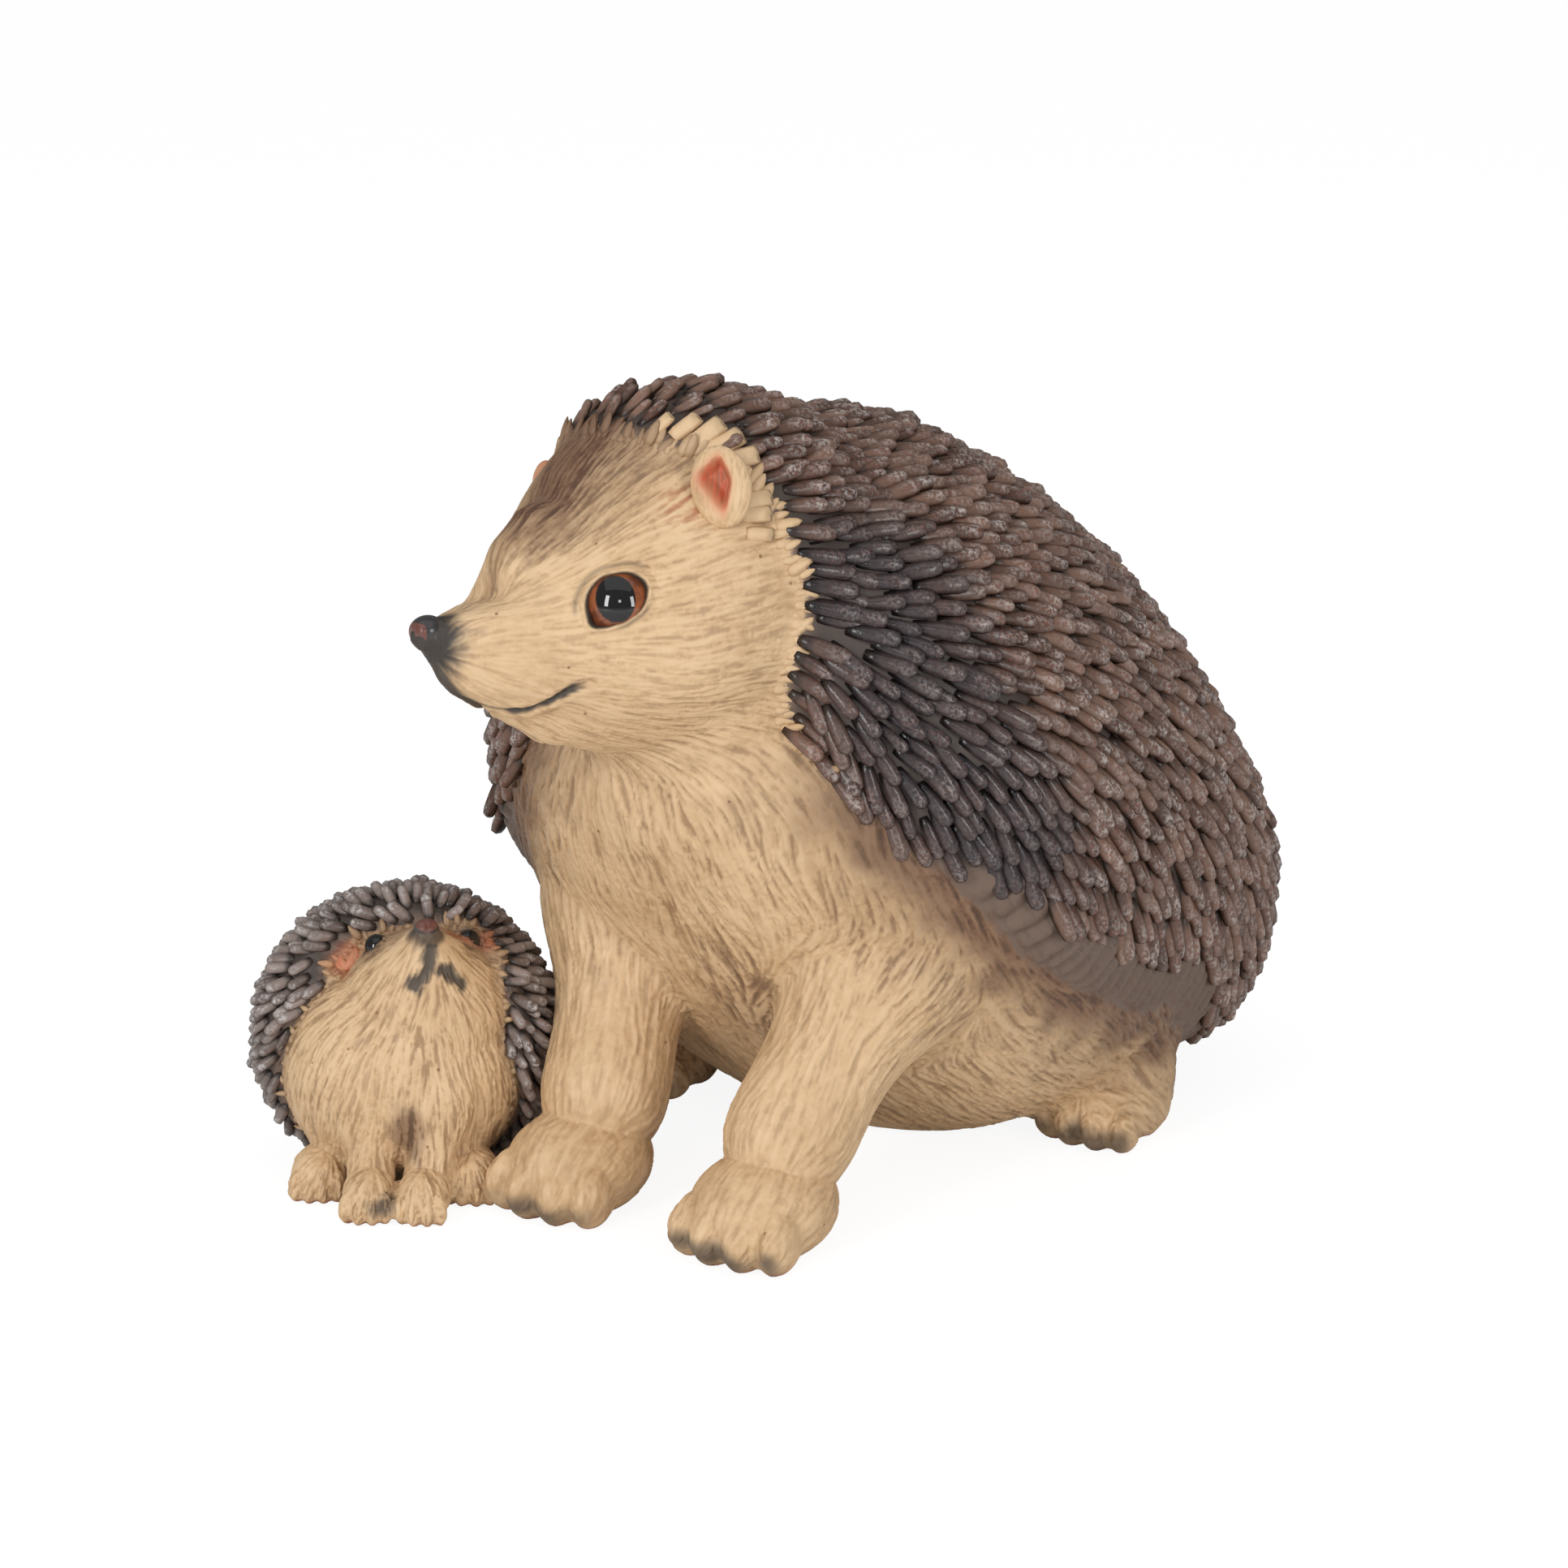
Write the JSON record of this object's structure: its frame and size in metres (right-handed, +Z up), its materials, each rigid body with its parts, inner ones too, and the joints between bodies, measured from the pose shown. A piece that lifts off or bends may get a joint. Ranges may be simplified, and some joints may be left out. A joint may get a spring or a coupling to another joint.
{
  "type": "hedgehog figurine",
  "caption": "Seated mother hedgehog with a young one at her side, cast and hand-painted, standing freely on flat paws and base.",
  "frame": {"origin": "middle of the figurine's own outline, on the surface it stands on", "axes": "+Z up, -Y the way the mother sits and faces, +X her left side"},
  "size_m": [0.2018, 0.2662, 0.2025],
  "materials": {
    "cream_fur": "cast resin, carved fur, cream paint with a brown wash in the grooves, satin lacquer",
    "brown_quills": "cast resin, carved quills, dark brown paint dry-brushed lighter on the tips, satin lacquer",
    "nose": "reddish brown and black paint, satin lacquer",
    "eye": "dark brown iris and black pupil under clear gloss",
    "ear": "orange brown paint inside a cream rim, satin lacquer"
  },
  "bodies": {
    "root": {"baby_body": "cream_fur", "baby_head": "cream_fur", "baby_left_ear": "ear", "baby_left_eye": "eye", "baby_left_foreleg": "cream_fur", "baby_left_forepaw": "cream_fur", "baby_left_hind_paw": "cream_fur", "baby_nose": "nose", "baby_right_ear": "ear", "baby_right_eye": "eye", "baby_right_foreleg": "cream_fur", "baby_right_forepaw": "cream_fur", "baby_right_hind_paw": "cream_fur", "baby_spine_coat": "brown_quills", "mother_body": "cream_fur", "mother_head": "cream_fur", "mother_left_ear": "ear", "mother_left_eye": "eye", "mother_left_foreleg": "cream_fur", "mother_left_forepaw": "cream_fur", "mother_left_hind_leg": "cream_fur", "mother_left_hind_paw": "cream_fur", "mother_nose": "nose", "mother_right_ear": "ear", "mother_right_eye": "eye", "mother_right_foreleg": "cream_fur", "mother_right_forepaw": "cream_fur", "mother_right_hind_leg": "cream_fur", "mother_right_hind_paw": "cream_fur", "mother_spine_coat": "brown_quills"}
  },
  "joints": []
}
